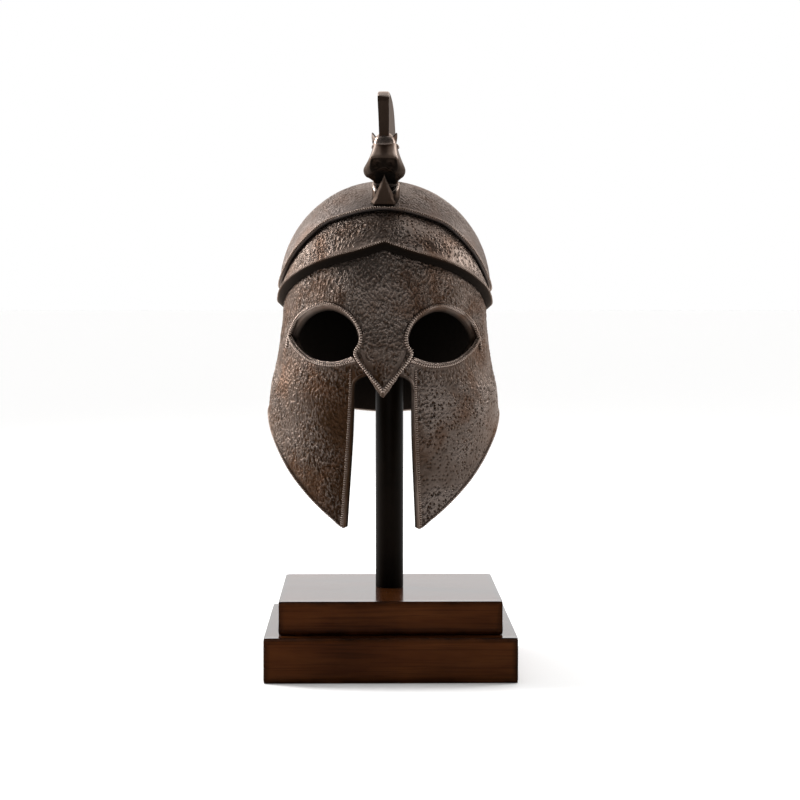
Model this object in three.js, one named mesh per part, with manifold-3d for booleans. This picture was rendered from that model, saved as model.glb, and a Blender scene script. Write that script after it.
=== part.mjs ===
// A Greek helmet of hammered bronze, held on a post over a two-step wooden stand.
// Millimetres, +Z up. The origin is the middle of the stand's underside, and the helmet faces -Y.
//
// From outside, the helmet is three lapping layers: a skull cap, a brow band under its edge, and a face mask
// under the band. All three follow one skull form, an ellipsoid. Turns round the helmet are in degrees from
// the middle of its face, so 90 is the wearer's side and 180 the back.

import * as THREE from 'three';
import { mergeVertices } from 'three/addons/utils/BufferGeometryUtils.js';
import Module from 'manifold-3d';

const wasm = await Module();
wasm.setup();

// ---------------------------------------------------------------- driving dimensions

const gap = 0.3;

const stand = { lowerSide: 220, lowerHeight: 40, upperSide: 195, upperHeight: 30, edge: 1.5 };
const post = { diameter: 25, discDiameter: 48, discThickness: 6, discTop: 427.5 };

// The helmet hangs a little to one side of its post, and is turned and tipped slightly.
const seat = { shift: -4.4, turn: -1, tip: 0.7, pivot: 300 };

const skull = { side: 95, length: 110, height: 97.5, centre: 340 };

const columns = 52;
const cap = { thickness: 3, bead: 0.9 };
const band = { proud: 2.3, lip: 9, thickness: 3.7, lap: 6 };
const mask = { wall: 6, underBand: 4, lap: 8, rows: 10 };
const reveal = 8;
const bead = { radius: 1.5, sides: 5 };

const slot = { top: 264, outerTop: 270, straightTo: 256, below: 120 };
const slotHalf = { innerAtTop: 23, innerAtTip: 27.6, outerAtTop: 27, outerAtTip: 33.4 };

// Right eye, seen from ahead as (x, z) and going round from the corner by the nose: the line of its raised
// rim, and the smaller hole through the inside of the wall. The left eye mirrors it.
const eyeRim = [
  [24.3, 284.5], [20.5, 291.5], [19.3, 299], [24.6, 312], [36, 322.5], [51, 326.5], [65.5, 321.8],
  [76.5, 313], [84, 297], [79, 289], [65, 277.7], [52, 274], [38, 274.3], [24.5, 278.5],
];
const eyeHole = [
  [25.3, 284.6], [23.6, 290.5], [23, 297.5], [26.8, 307.7], [35, 314.6], [45.5, 318.3], [56, 315.8],
  [64, 309.5], [71, 297], [68, 288], [60, 280.5], [50, 277.6], [38, 277.8], [25, 280],
];
const lidTail = [85.5, 287.5];

// Right half of the nasal's outline, from its tip to its root: the foot against the mask, and the face.
const nasalFoot = [[0, 246.6], [3, 249.2], [23, 285.5], [19.5, 298], [17, 308], [0, 318]];
const nasalFace = [[0, 252.4], [1.5, 254.6], [19.6, 286], [17.5, 298], [15, 307], [0, 316]];
const nasal = { thickness: 8, buried: 5 };

const crest = { thickness: 9.8, footThickness: 7.2, shift: -2.6, turn: -2.4, front: -109 };
const beast = { shift: -0.7, turn: -2, middle: -90 };
const spike = { shift: 0.4, front: -70.5, back: -63, foot: 408, apexY: -83, apex: 438, room: 1 };
const spikeHalf = { front: 9.4, back: 15 };

// ---------------------------------------------------------------- curves that set the helmet's form

// A smooth curve through (position, value) stations. It never overshoots, and its ends are straight unless
// a slope is given for the first one.
function through(stations, firstSlope) {
  const rises = stations.slice(1).map(([t, value], i) => (value - stations[i][1]) / (t - stations[i][0]));
  const slopes = stations.map((_, i) => {
    if (i === 0) return firstSlope ?? rises[0];
    if (i === stations.length - 1) return 0;
    const product = rises[i - 1] * rises[i];
    return product > 0 ? (2 * product) / (rises[i - 1] + rises[i]) : 0;
  });
  return (t) => {
    const last = stations.length - 2;
    const found = stations.findIndex(([end], i) => i > 0 && t <= end) - 1;
    const i = found < 0 ? last : found;
    const [[t0, v0], [t1, v1]] = [stations[i], stations[i + 1]];
    const span = t1 - t0;
    const u = THREE.MathUtils.clamp((t - t0) / span, 0, 1);
    const bend0 = span * slopes[i] * u * (1 - u) ** 2;
    const bend1 = span * slopes[i + 1] * u ** 2 * (u - 1);
    return v0 + (v1 - v0) * u * u * (3 - 2 * u) + bend0 + bend1;
  };
}

// Heights of the three layers' lower edges, by the turn from the face's middle.
const capEdge = through([[0, 410], [40, 399.3], [60, 376], [75, 351.5], [90, 340], [115, 336], [180, 335]], 0);
const bandEdge = through([[0, 370.5], [14, 363.4], [33, 355.5], [46, 348.5], [65, 336], [90, 321], [180, 313]]);
const maskEdge = through([
  [0, 131.6], [18, 132], [24.5, 139.5], [45.6, 169], [72, 209], [90, 229], [108, 236], [135, 232], [180, 223],
], 0);

// The mask's outer half width, and its depths before and behind, by height. Above the last station it
// follows the skull.
const maskSide = through([[131, 103.5], [229, 103.5], [251, 102], [272, 97.3], [294, 94], [316, 91.6], [340, 91]]);
const maskFront = through([[131, 97], [230, 99], [272, 102], [300, 105], [340, 106]]);
const maskBack = through([[131, 128], [223, 125], [240, 118], [262, 111.5], [290, 107.5], [316, 105.5], [340, 106]]);

// How far the nasal stands proud of the mask, by height: most at its tip, nothing at its root.
const nasalRise = through([[246.6, 8], [285.5, 4], [318, 0]]);

// The face slot's half widths, inside and outside the wall.
const slotInner = through([[131.6, slotHalf.innerAtTip], [235, slotHalf.innerAtTop], [272, slotHalf.innerAtTop]]);
const slotOuter = through([[131.6, slotHalf.outerAtTip], [272, slotHalf.outerAtTop]]);

// ---------------------------------------------------------------- points on the helmet's surfaces

const radians = THREE.MathUtils.degToRad;

// A point of the skull ellipsoid at a turn and height, moved out along the surface normal.
function onSkull(turn, z, out) {
  return onSkullAt(turn, Math.acos(THREE.MathUtils.clamp((z - skull.centre) / skull.height, -1, 1)), out);
}

function onSkullAt(turn, polar, out) {
  const x = skull.side * Math.sin(polar) * Math.sin(radians(turn));
  const y = -skull.length * Math.sin(polar) * Math.cos(radians(turn));
  const z = skull.height * Math.cos(polar);
  const normal = new THREE.Vector3(x / skull.side ** 2, y / skull.length ** 2, z / skull.height ** 2).normalize();
  return new THREE.Vector3(x, y, z + skull.centre).addScaledVector(normal, out);
}

// The mask's section at a height: half width, and depth before or behind.
function maskSection(z, behind) {
  if (z <= skull.centre) return [maskSide(z), behind ? maskBack(z) : maskFront(z)];
  const scale = Math.sqrt(1 - ((z - skull.centre) / skull.height) ** 2);
  return [skull.side * scale - mask.underBand, skull.length * scale - mask.underBand];
}

function onMask(turn, z, inset) {
  const [side, depth] = maskSection(z, Math.cos(radians(turn)) < 0);
  return new THREE.Vector3((side - inset) * Math.sin(radians(turn)), (inset - depth) * Math.cos(radians(turn)), z);
}

// The y of the mask's front at a place seen from ahead, on its outside or an inset below it.
function frontY(x, z, inset = 0) {
  const [side, depth] = maskSection(z, false);
  return (inset - depth) * Math.sqrt(Math.max(0, 1 - (x / (side - inset)) ** 2));
}

// The y of the finished front, with the nasal's rise fading out beside the nose.
function faceY(x, z) {
  return frontY(x, z) - nasalRise(z) * (1 - THREE.MathUtils.smoothstep(Math.abs(x), 20, 28));
}

// ---------------------------------------------------------------- making solids

// A closed skin over rings of points, each ring closed on itself. The last ring joins the first, or each end
// is shut: by a fan to its middle, or by the flat outline that it shows from ahead.
function skin(rings, ends = 'joined') {
  const count = rings[0].length;
  const points = rings.flat();
  const faces = [];
  const strips = ends === 'joined' ? rings.length : rings.length - 1;
  for (let i = 0; i < strips; i++) {
    const next = ((i + 1) % rings.length) * count;
    for (let j = 0; j < count; j++) {
      const k = (j + 1) % count;
      faces.push([i * count + j, i * count + k, next + k]);
      faces.push([i * count + j, next + k, next + j]);
    }
  }
  if (ends !== 'joined') {
    const shut = ends === 'fans' ? fanFaces : outlineFaces;
    const last = (rings.length - 1) * count;
    shut(rings[0], points).forEach(([a, b, c]) => faces.push([c, b, a]));
    shut(rings[rings.length - 1], points, last).forEach((face) => faces.push(face));
  }
  return solid(points, faces);
}

function fanFaces(ring, points, start = 0) {
  const middle = ring.reduce((sum, p) => sum.add(p), new THREE.Vector3()).divideScalar(ring.length);
  const pole = points.push(middle) - 1;
  return ring.map((_, j) => [start + j, start + ((j + 1) % ring.length), pole]);
}

function outlineFaces(ring, points, start = 0) {
  const outline = ring.map((p) => new THREE.Vector2(p.x, p.z));
  const faces = THREE.ShapeUtils.triangulateShape(outline, []);
  const turned = signedArea(outline, faces[0]) * THREE.ShapeUtils.area(outline) < 0;
  return faces.map(([a, b, c]) => (turned ? [start + c, start + b, start + a] : [start + a, start + b, start + c]));
}

function signedArea(outline, face) {
  return THREE.ShapeUtils.area(face.map((index) => outline[index]));
}

// Rings may run either way round, so a skin that would be inside out is turned.
function solid(points, faces) {
  const volume = faces.reduce((sum, [a, b, c]) => (
    sum + points[a].dot(new THREE.Vector3().crossVectors(points[b], points[c]))
  ), 0);
  const outward = volume < 0 ? faces.map(([a, b, c]) => [a, c, b]) : faces;
  const geometry = new THREE.BufferGeometry();
  geometry.setAttribute('position', new THREE.Float32BufferAttribute(points.flatMap((p) => p.toArray()), 3));
  geometry.setIndex(outward.flat());
  return toManifold(geometry);
}

function toManifold(source) {
  const bare = source.clone();
  bare.deleteAttribute('normal');
  bare.deleteAttribute('uv');
  const geometry = mergeVertices(bare, 1e-4);
  return new wasm.Manifold(new wasm.Mesh({
    numProp: 3,
    vertProperties: new Float32Array(geometry.attributes.position.array),
    triVerts: new Uint32Array(geometry.index.array),
  }));
}

function toGeometry(manifold) {
  const mesh = manifold.getMesh();
  const geometry = new THREE.BufferGeometry();
  geometry.setAttribute('position', new THREE.BufferAttribute(new Float32Array(mesh.vertProperties), 3));
  geometry.setIndex(new THREE.BufferAttribute(new Uint32Array(mesh.triVerts), 1));
  return geometry;
}

const join = (parts) => parts.reduce((whole, part) => whole.add(part));

const vector = ([x, y, z]) => new THREE.Vector3(x, y, z);

// A round bead along a path.
function beadAlong(path, steps) {
  const section = new THREE.Shape();
  section.absarc(0, 0, bead.radius, 0, 2 * Math.PI);
  const corners = section.getPoints(bead.sides).slice(0, -1);
  const extrudePath = new THREE.CatmullRomCurve3(path);
  const settings = { steps, extrudePath, bevelEnabled: false };
  return toManifold(new THREE.ExtrudeGeometry(new THREE.Shape(corners), settings));
}

// ---------------------------------------------------------------- skull cap

const around = Array.from({ length: columns }, (_, i) => (360 * i) / columns - 180);

// The cap is a dome whose rim swells into a bead.
function makeSkullCap() {
  const row = (share, out) => around.map((turn) => {
    const edge = Math.acos((capEdge(Math.abs(turn)) - skull.centre) / skull.height);
    return onSkullAt(turn, edge * share, out);
  });
  const shares = [0.1, 0.24, 0.38, 0.52, 0.66, 0.8, 0.93];
  const outer = shares.map((share) => row(share, 0));
  const rim = [row(0.965, cap.bead), row(0.992, cap.bead), row(1, 0), row(1, -cap.thickness)];
  const inner = shares.map((share) => row(share, -cap.thickness)).reverse();
  return skin([...outer, ...rim, ...inner], 'fans');
}

// ---------------------------------------------------------------- brow band

// The band's face stands proud along its foot, where a lip slopes in and down to the mask. Its top runs up
// under the cap.
function makeBrowBand() {
  const row = (place) => around.map((turn) => place(turn, bandEdge(Math.abs(turn)), capEdge(Math.abs(turn))));
  const underCap = -cap.thickness - gap;
  const inside = underCap - band.thickness;
  return skin([
    row((turn, low) => onMask(turn, low, -gap)),
    row((turn, low) => onSkull(turn, low + band.lip / 3, -0.4)),
    row((turn, low) => onSkull(turn, low + band.lip, band.proud)),
    row((turn, low) => onSkull(turn, low + band.lip + 1.6, band.proud - 0.8)),
    row((turn, low, high) => onSkull(turn, (low + band.lip + high) / 2, -0.6)),
    row((turn, low, high) => onSkull(turn, high - 2, underCap)),
    row((turn, low, high) => onSkull(turn, high + band.lap, underCap)),
    row((turn, low, high) => onSkull(turn, high + band.lap, inside)),
    row((turn, low) => onMask(turn, low + mask.lap + 1.6, band.thickness - gap)),
    row((turn, low) => onMask(turn, low + mask.lap + 0.7, -gap)),
  ]);
}

// ---------------------------------------------------------------- face mask

// The mask is a wall from the pointed cheek edges up to its lap under the band. Its lower edge is beaded.
function makeMaskShell() {
  const row = (share, lift, inset) => around.map((turn) => {
    const low = maskEdge(Math.abs(turn)) + lift;
    const high = bandEdge(Math.abs(turn)) + mask.lap;
    return onMask(turn, low + (high - low) * share, inset);
  });
  const shares = Array.from({ length: mask.rows + 1 }, (_, i) => i / mask.rows);
  const edge = [row(0, 0, 0), row(0, 1.2, -1.1)];
  const outer = shares.map((share) => row(share, 3, 0));
  const inner = shares.map((share) => row(share, 0, mask.wall)).reverse();
  return skin([...edge, ...outer, ...inner]);
}

// An opening that keeps its outside outline down to the surface, then narrows through the wall.
function openingThrough(outside, inside, endY) {
  const place = (outline, y) => outline.map(([x, z]) => new THREE.Vector3(x, y(x, z), z));
  return skin([
    place(outside, () => -140),
    place(outside, (x, z) => frontY(x, z) - 0.5),
    place(inside, (x, z) => frontY(x, z, reveal)),
    place(inside, () => endY),
  ], 'outlines');
}

// An outline drawn as a smooth loop through its points, mirrored for the left side.
function eyeLoop(outline, side) {
  const loop = new THREE.CatmullRomCurve3(outline.map(([x, z]) => new THREE.Vector3(side * x, 0, z)), true);
  return loop.getPoints(28).slice(0, -1).map((p) => [p.x, p.z]);
}

function slotOutline(half, top) {
  const right = [slot.below, 175, 235, slot.straightTo].map((z) => [half(z), z]);
  const shoulder = half(slot.straightTo) * 0.72;
  const arch = [[shoulder, top - 2.5], [0, top], [-shoulder, top - 2.5]];
  return [...right, ...arch, ...right.map(([x, z]) => [-x, z]).reverse()];
}

function makeNasal() {
  const mirrored = (half) => [...half, ...half.slice(1, -1).map(([x, z]) => [-x, z]).reverse()];
  const foot = mirrored(nasalFoot).map(([x, z]) => {
    const y = Math.min(faceY(x, z) + nasal.thickness, frontY(x, z) + nasal.buried);
    return new THREE.Vector3(x, y, z);
  });
  const face = mirrored(nasalFace).map(([x, z]) => new THREE.Vector3(x, faceY(x, z), z));
  return skin([foot, face], 'outlines');
}

// The upper rim runs from the lid's tail over the eye and on down the nasal's edge to its tip. The lower rim
// meets the nasal, and a bead follows the cheek's front edge down from it.
function makeRims(side) {
  const onFace = ([x, z]) => new THREE.Vector3(side * x, faceY(x, z), z);
  const upper = [lidTail, ...eyeRim.slice(0, 9).reverse(), ...nasalFace.slice(0, 2).reverse()];
  const lower = eyeRim.slice(8);
  const cheek = [272, 226, 180, 138].map((z) => [slotOuter(z), z]);
  return [
    beadAlong(upper.map(onFace), 30),
    beadAlong(lower.map(onFace), 12),
    beadAlong(cheek.map(onFace), 5),
  ];
}

function makeFaceMask() {
  const openings = [1, -1].map((side) => openingThrough(eyeLoop(eyeRim, side), eyeLoop(eyeHole, side), -20));
  const face = openingThrough(slotOutline(slotOuter, slot.outerTop), slotOutline(slotInner, slot.top), -60);
  const wall = [...openings, face].reduce((whole, opening) => whole.subtract(opening), makeMaskShell());
  return join([wall, makeNasal(), ...makeRims(1), ...makeRims(-1)]);
}

// ---------------------------------------------------------------- crest, beast head and spike

// The crown, grown by enough that a piece cut by it stands just clear of the cap.
function crownClearance() {
  const clear = gap + 0.3;
  const ball = new THREE.SphereGeometry(1, 72, 36);
  ball.scale(skull.side + clear, skull.length + clear, skull.height + clear);
  ball.translate(0, 0, skull.centre);
  return toManifold(ball);
}

// Turns a piece about an upright line through the middle of the helmet's depth at y.
function turnedAbout(manifold, degrees, y) {
  return manifold.translate([0, -y, 0]).rotate([0, 0, degrees]).translate([0, y, 0]);
}

// A blade, thicker along its top. Its front leans forward over the beast head, and its back runs down the
// crown in one long curve.
function makeCrest(crown) {
  const side = new THREE.Shape();
  side.moveTo(-88, 467);
  side.quadraticCurveTo(-94, 486, -108, 499);
  side.lineTo(-109, 505);
  side.quadraticCurveTo(-107, 508.5, -102, 508.5);
  side.bezierCurveTo(-76, 509.5, -42, 507, -18, 501.5);
  side.bezierCurveTo(25, 491, 75, 462, 104, 400);
  side.quadraticCurveTo(108, 388, 112, 366);
  side.lineTo(60, 366);
  side.lineTo(-59.9, 400);
  side.lineTo(-59.9, 461);
  side.lineTo(-74, 466.4);
  const blade = new THREE.ExtrudeGeometry(side, { depth: crest.thickness, bevelEnabled: false, curveSegments: 7 });
  const points = blade.attributes.position;
  for (let i = 0; i < points.count; i++) {
    const [y, z] = [points.getX(i), points.getY(i)];
    const thickness = THREE.MathUtils.mapLinear(z, 440, 505, crest.footThickness, crest.thickness);
    const across = points.getZ(i) / crest.thickness - 0.5;
    points.setXYZ(i, across * THREE.MathUtils.clamp(thickness, crest.footThickness, crest.thickness), y, z);
  }
  const turned = turnedAbout(toManifold(blade), crest.turn, crest.front);
  return turned.translate([crest.shift, 0, 0]).subtract(crown);
}

// One section across the beast's head or jaw: y, then top, middle and bottom as [height, half width].
function beastSection(y, [topZ, top], [midZ, mid], [lowZ, low]) {
  return [[top, topZ], [mid, midZ], [low, lowZ], [-low, lowZ], [-mid, midZ], [-top, topZ]].map(
    ([x, z]) => new THREE.Vector3(x, y, z),
  );
}

// The head looks forward with its jaws open, the spike standing up in front of the lower one. Its snout
// slopes down, its cheeks bulge, and two small ears stand at the back.
function makeBeast(crown, spikeRoom) {
  const head = skin([
    beastSection(-60.3, [460, 5], [446, 10.5], [430, 9]),
    beastSection(-74, [465.5, 7], [450, 13.5], [433, 11]),
    beastSection(-86, [466, 6.8], [446, 16.5], [434.5, 13.5]),
    beastSection(-97, [461, 8.4], [442.5, 18.1], [435, 14.5]),
    beastSection(-106, [455.5, 10.4], [442.5, 16.5], [436, 12.5]),
    beastSection(-113, [451.5, 11], [444.5, 12.5], [439.5, 9.5]),
  ], 'outlines');
  const jaw = skin([
    beastSection(-61, [433, 10.8], [426, 11.2], [410, 10.4]),
    beastSection(-68, [428.6, 9.8], [423, 10.4], [409, 9.4]),
    beastSection(-73, [424.2, 3.8], [421.4, 5], [408, 4.6]),
  ], 'outlines');
  const neck = skin([
    beastSection(-60.3, [445, 9.4], [430, 10.6], [405, 9]),
    beastSection(-65.5, [445, 9.4], [430, 10.6], [405, 9]),
  ], 'outlines');
  const ears = [1, -1].map((side) => {
    const ear = new THREE.ConeGeometry(2.8, 12, 6);
    ear.rotateX(Math.PI / 2);
    ear.rotateY(side * radians(20));
    ear.translate(side * 8, -80, 468);
    return toManifold(ear);
  });
  const turned = turnedAbout(join([head, jaw, neck, ...ears]), beast.turn, beast.middle);
  return turned.translate([beast.shift, 0, 0]).subtract(crown).subtract(spikeRoom);
}

// A four-sided spike, its foot fitted to the crown. Grown on every side, it is the room that it needs.
function spikeForm(grown = 0) {
  const [front, back] = [spike.front - 2 * grown, spike.back + grown];
  const [narrow, wide] = [spikeHalf.front + grown, spikeHalf.back + grown];
  const corners = [[-narrow, front], [narrow, front], [wide, back], [-wide, back]];
  const foot = corners.map(([x, y]) => new THREE.Vector3(x + spike.shift, y, spike.foot));
  const apex = new THREE.Vector3(spike.shift, spike.apexY - 2 * grown, spike.apex + 4 * grown);
  const faces = [[0, 2, 1], [0, 3, 2], ...foot.map((_, i) => [i, (i + 1) % 4, 4])];
  return solid([...foot, apex], faces);
}

// ---------------------------------------------------------------- stand

// A square block with softly rounded edges.
function makeBlock(side, height, bottom) {
  const half = side / 2 - stand.edge;
  const outline = new THREE.Shape();
  outline.moveTo(-half, -half);
  outline.lineTo(half, -half);
  outline.lineTo(half, half);
  outline.lineTo(-half, half);
  const block = new THREE.ExtrudeGeometry(outline, {
    depth: height - 2 * stand.edge,
    bevelThickness: stand.edge,
    bevelSize: stand.edge,
    bevelSegments: 2,
  });
  block.translate(0, 0, bottom + stand.edge);
  return toManifold(block);
}

// The rod ends under the crown in a plain disc that carries the helmet.
function makePost(bottom) {
  const [rod, disc] = [post.diameter / 2, post.discDiameter / 2];
  const underside = post.discTop - post.discThickness;
  const profile = [
    [0, bottom], [rod, bottom], [rod, underside], [disc, underside], [disc, post.discTop], [0, post.discTop],
  ].map(([r, z]) => new THREE.Vector2(r, z));
  const turned = new THREE.LatheGeometry(profile, 40);
  turned.rotateX(Math.PI / 2);
  return toManifold(turned);
}

// ---------------------------------------------------------------- the assembly

const bronze = { color: 0x4a3b32, roughness: 0.42, metalness: 0.85 };
const polishedBronze = { color: 0x5a4436, roughness: 0.28, metalness: 0.9 };
const blackSteel = { color: 0x17130f, roughness: 0.38, metalness: 0.6 };
const walnut = { color: 0x38200f, roughness: 0.35, metalness: 0 };

function piece(name, manifold, finish) {
  const mesh = new THREE.Mesh(toGeometry(manifold), new THREE.MeshStandardMaterial(finish));
  mesh.name = name;
  return mesh;
}

const crown = crownClearance();
const helmet = new THREE.Group();
helmet.add(
  piece('face_mask', makeFaceMask(), bronze),
  piece('brow_band', makeBrowBand(), bronze),
  piece('skull_cap', makeSkullCap(), bronze),
  piece('crest', makeCrest(crown), polishedBronze),
  piece('beast_head', makeBeast(crown, spikeForm(spike.room)), polishedBronze),
  piece('crest_spike', spikeForm().subtract(crown), polishedBronze),
);
helmet.position.z = -seat.pivot;

const hung = new THREE.Group();
hung.position.set(seat.shift, 0, seat.pivot);
hung.rotation.set(0, radians(seat.tip), radians(seat.turn));
hung.add(helmet);

const upperBottom = stand.lowerHeight + gap;
const standTop = stand.lowerHeight + stand.upperHeight;
const whole = new THREE.Group();
whole.add(
  piece('base_lower', makeBlock(stand.lowerSide, stand.lowerHeight, 0), walnut),
  piece('base_upper', makeBlock(stand.upperSide, standTop - upperBottom, upperBottom), walnut),
  piece('post', makePost(standTop + gap), blackSteel),
  hung,
);

export default whole;
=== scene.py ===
import math

import bmesh
import bpy
import numpy as np
from mathutils import Matrix, Vector, kdtree


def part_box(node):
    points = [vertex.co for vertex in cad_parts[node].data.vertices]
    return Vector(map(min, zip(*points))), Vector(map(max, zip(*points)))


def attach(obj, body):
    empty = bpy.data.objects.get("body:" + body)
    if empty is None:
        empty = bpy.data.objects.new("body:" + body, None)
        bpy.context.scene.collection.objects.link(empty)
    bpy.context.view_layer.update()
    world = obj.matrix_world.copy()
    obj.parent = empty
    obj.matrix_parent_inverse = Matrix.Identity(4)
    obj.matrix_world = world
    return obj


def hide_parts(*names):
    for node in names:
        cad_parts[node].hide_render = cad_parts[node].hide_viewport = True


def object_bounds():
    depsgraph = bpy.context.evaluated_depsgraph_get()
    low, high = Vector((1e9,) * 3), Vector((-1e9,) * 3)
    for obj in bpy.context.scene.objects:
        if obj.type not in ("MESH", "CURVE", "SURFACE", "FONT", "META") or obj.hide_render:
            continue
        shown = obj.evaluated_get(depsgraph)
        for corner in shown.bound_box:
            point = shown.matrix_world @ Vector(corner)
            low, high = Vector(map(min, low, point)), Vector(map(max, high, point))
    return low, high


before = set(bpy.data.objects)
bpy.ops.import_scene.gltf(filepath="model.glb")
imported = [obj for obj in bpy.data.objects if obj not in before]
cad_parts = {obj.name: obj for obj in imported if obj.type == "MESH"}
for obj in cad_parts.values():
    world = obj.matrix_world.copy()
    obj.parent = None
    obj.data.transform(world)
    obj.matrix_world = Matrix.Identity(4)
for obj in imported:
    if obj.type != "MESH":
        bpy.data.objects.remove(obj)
cad_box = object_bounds()
mm = 0.001


# ---------------- the studio
# The helmet on its stand has a pale floor and an even pale room to itself. A broad window of soft light
# stands behind it on the left, a weaker one on the right and a faint one low in front, under a skylight.

def feed(tree, node, inputs):
    """Gives a node's inputs plain values, or other nodes' outputs to link from."""
    for socket, value in inputs.items():
        if isinstance(value, bpy.types.NodeSocket):
            tree.links.new(value, node.inputs[socket])
        else:
            node.inputs[socket].default_value = value


def add(tree, kind, inputs, **settings):
    """Adds a node to a tree, with its inputs and settings."""
    made = tree.nodes.new(kind)
    for name, value in settings.items():
        setattr(made, name, value)
    feed(tree, made, inputs)
    return made


def spread(tree, value, start, end, low, high, **settings):
    """A number from low to high as the value goes from start to end."""
    inputs = {"Value": value, 1: start, 2: end, 3: low, 4: high}
    return add(tree, "ShaderNodeMapRange", inputs, **settings).outputs[0]


def between(tree, share, low, high):
    """The number that a share of the way from low to high makes."""
    return add(tree, "ShaderNodeMix", {"Factor": share, 2: low, 3: high}, data_type="FLOAT").outputs[0]


def new_material(name):
    """A material with its own bare shader, and the tree and shader to finish it with."""
    material = bpy.data.materials.new(name)
    material.use_nodes = True
    return material, material.node_tree, material.node_tree.nodes["Principled BSDF"]


def new_object(name, data):
    """An object in the scene, holding a mesh, a light or a camera."""
    made = bpy.data.objects.new(name, data)
    bpy.context.collection.objects.link(made)
    return made


def soft_window(name, place, aim, size, watts):
    """A soft oblong light at a place, turned to face its aim."""
    light = bpy.data.lights.new(name, "AREA")
    light.shape = "RECTANGLE"
    light.size, light.size_y = size
    light.energy = watts
    window = new_object(name, light)
    window.location = place
    window.rotation_euler = (Vector(aim) - Vector(place)).to_track_quat("-Z", "Y").to_euler()


floor_reach = 60
floor_mesh = bpy.data.meshes.new("studio_floor")
corners = [(x * floor_reach, y * floor_reach, cad_box[0].z) for x, y in ((-1, -1), (1, -1), (1, 1), (-1, 1))]
floor_mesh.from_pydata(corners, [], [(0, 1, 2, 3)])
floor = new_object("studio_floor", floor_mesh)
pale, pale_tree, paint = new_material("pale_floor")
feed(pale_tree, paint, {"Base Color": (0.92, 0.915, 0.91, 1), "Roughness": 0.9,
                        "Emission Color": (1, 1, 1, 1), "Emission Strength": 0.15})
floor_mesh.materials.append(pale)

# The room is white to look at. Where it lights the metal it is bright behind and overhead, and dark in front.
room = bpy.data.worlds.new("pale_room")
room.use_nodes = True
room_tree = room.node_tree
direction = add(room_tree, "ShaderNodeTexCoord", {}).outputs["Generated"]
behind = add(room_tree, "ShaderNodeSeparateXYZ", {0: direction}).outputs["Y"]
glow = spread(room_tree, behind, 0.1, 0.95, 0.05, 1.0)
seen = add(room_tree, "ShaderNodeLightPath", {}).outputs["Is Camera Ray"]
brightness = between(room_tree, seen, glow, 1.0)
feed(room_tree, room_tree.nodes["Background"], {"Color": (1, 1, 1, 1), "Strength": brightness})
bpy.context.scene.world = room

helmet_middle = (0, 0, 0.35)
soft_window("window_left", (-1.9, 0.8, 1.2), helmet_middle, (0.7, 1.2), 68)
soft_window("window_right", (1.9, 0.7, 1.1), helmet_middle, (0.6, 1.2), 21)
soft_window("window_low_right", (1.7, -1.0, 0.5), (0, 0, 0.3), (0.8, 1.2), 2)

skylight = bpy.data.lights.new("skylight", "SUN")
skylight.energy = 2.2
skylight.angle = math.radians(100)
new_object("skylight", skylight).rotation_euler = (math.radians(-25), 0, 0)

lens = bpy.data.cameras.new("camera")
lens.lens = 100
lens.sensor_width = 36
camera = new_object("camera", lens)
camera.location = (-0.022, -2.011, 0.3315)
look_down, look_right = 2.61, 0.9
camera.rotation_euler = (math.radians(90 - look_down), 0, math.radians(-look_right))
bpy.context.scene.camera = camera
bpy.context.scene.view_settings.view_transform = "Standard"


# ---------------- wooden stand
# Two square blocks of dark stained hardwood, the smaller glued on the larger, are sawn with the grain from
# side to side. Their faces are lacquered to a shine, and their edges are rubbed dark and soft.

def smooth(piece, sharpest):
    """Shades a piece smooth, but for edges sharper than an angle in degrees."""
    piece.data.shade_smooth()
    piece.data.set_sharp_from_angle(angle=math.radians(sharpest))


def make_piece(name, points, faces, material, sharpest=35, weld=False):
    """A smooth mesh piece from points in millimetres."""
    mesh = bpy.data.meshes.new(name)
    mesh.from_pydata((np.asarray(points, float) * mm).tolist(), [], faces)
    mesh.materials.append(material)
    piece = new_object(name, mesh)
    form = bmesh.new()
    form.from_mesh(mesh)
    if weld:
        bmesh.ops.remove_doubles(form, verts=form.verts, dist=0.01 * mm)
    bmesh.ops.recalc_face_normals(form, faces=form.faces)
    form.to_mesh(mesh)
    form.free()
    smooth(piece, sharpest)
    return piece


def places(piece):
    """The piece's points in millimetres."""
    flat = np.empty(len(piece.data.vertices) * 3, np.float32)
    piece.data.vertices.foreach_get("co", flat)
    return flat.reshape(-1, 3).astype(float) / mm


def put(piece, points):
    """Moves the piece's points to these places in millimetres."""
    piece.data.vertices.foreach_set("co", (points * mm).astype(np.float32).ravel())
    piece.data.update()


def note(piece, name, values):
    """Keeps a number at each point of a piece for its material or its nodes to read."""
    attribute = piece.data.attributes.new(name, "FLOAT", "POINT")
    attribute.data.foreach_set("value", np.broadcast_to(values, len(piece.data.vertices)).astype(np.float32))


def assemble(piece, slot, *nodes):
    """Fastens a finished piece to the object, in the place of its plain solids."""
    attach(piece, "root")
    if nodes:
        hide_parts(*nodes)


def ease(value, start, end):
    """0 before start and 1 after end, with a smooth rise between them."""
    share = np.clip((value - start) / (end - start), 0, 1)
    return share * share * (3 - 2 * share)


def calculate(tree, operation, *values):
    return add(tree, "ShaderNodeMath", dict(enumerate(values)), operation=operation).outputs[0]


def scaled(tree, vector, size):
    return add(tree, "ShaderNodeVectorMath", {0: vector, "Scale": size}, operation="SCALE").outputs[0]


def object_place(tree):
    return add(tree, "ShaderNodeTexCoord", {}).outputs["Object"]


def noted(tree, name):
    """A number kept at the piece's points, for its material."""
    return add(tree, "ShaderNodeAttribute", {}, attribute_name=name).outputs["Fac"]


def stretched(tree, place, scale):
    return add(tree, "ShaderNodeMapping", {"Vector": place, "Scale": scale}).outputs[0]


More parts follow.
